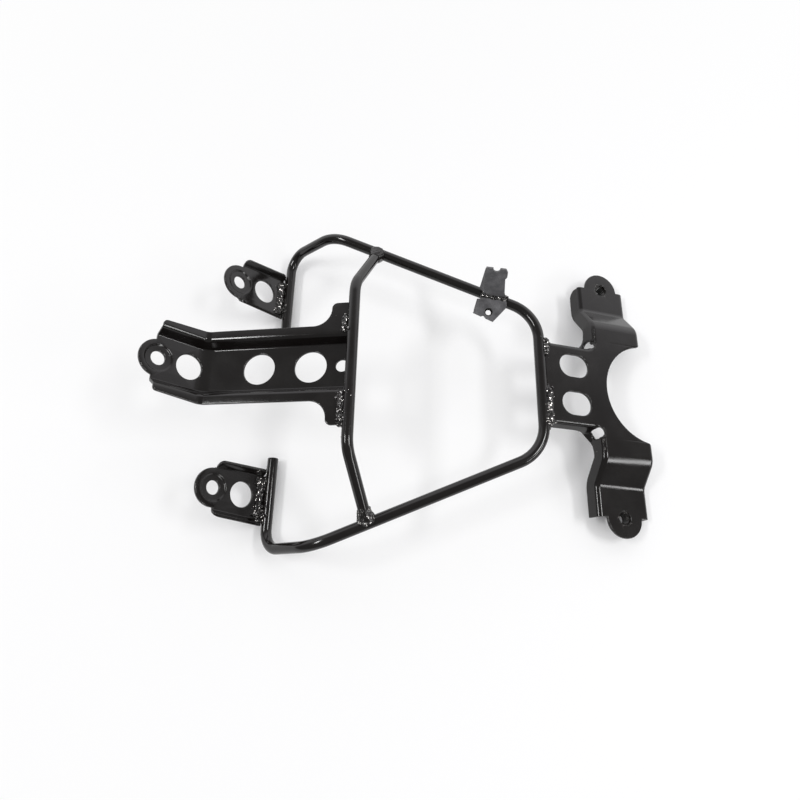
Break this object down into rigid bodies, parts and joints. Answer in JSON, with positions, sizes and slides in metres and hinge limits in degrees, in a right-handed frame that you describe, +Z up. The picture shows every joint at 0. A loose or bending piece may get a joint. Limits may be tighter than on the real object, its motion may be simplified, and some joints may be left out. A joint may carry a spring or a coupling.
{
  "type": "scooter rear rack",
  "caption": "Welded round-bar rear carrier with a pressed centre arm, bolt-on side tabs and a stepped slotted end plate, painted gloss black",
  "frame": {"origin": "on the floor under the middle of the part's box", "axes": "+X runs from the centre arm's tip to the stepped end plate, +Y to the left, +Z up"},
  "size_m": [0.3656, 0.2533, 0.0825],
  "materials": {
    "gloss_black": "gloss",
    "dull_grey": "satin"
  },
  "bodies": {
    "root": {"hoop_rod": "gloss_black", "cross_rod": "gloss_black", "centre_arm": "gloss_black", "left_side_tab": "gloss_black", "right_side_tab": "gloss_black", "end_plate": "gloss_black", "clip_bracket": "dull_grey", "left_weld_nut": "gloss_black", "right_weld_nut": "gloss_black", "left_cross_weld": "gloss_black", "right_cross_weld": "gloss_black", "left_wing_weld": "gloss_black", "right_wing_weld": "gloss_black", "left_plate_weld": "gloss_black", "right_plate_weld": "gloss_black", "left_tab_weld": "gloss_black", "right_tab_weld": "gloss_black", "clip_weld": "dull_grey", "clip_weld_nut": "dull_grey"}
  },
  "joints": []
}
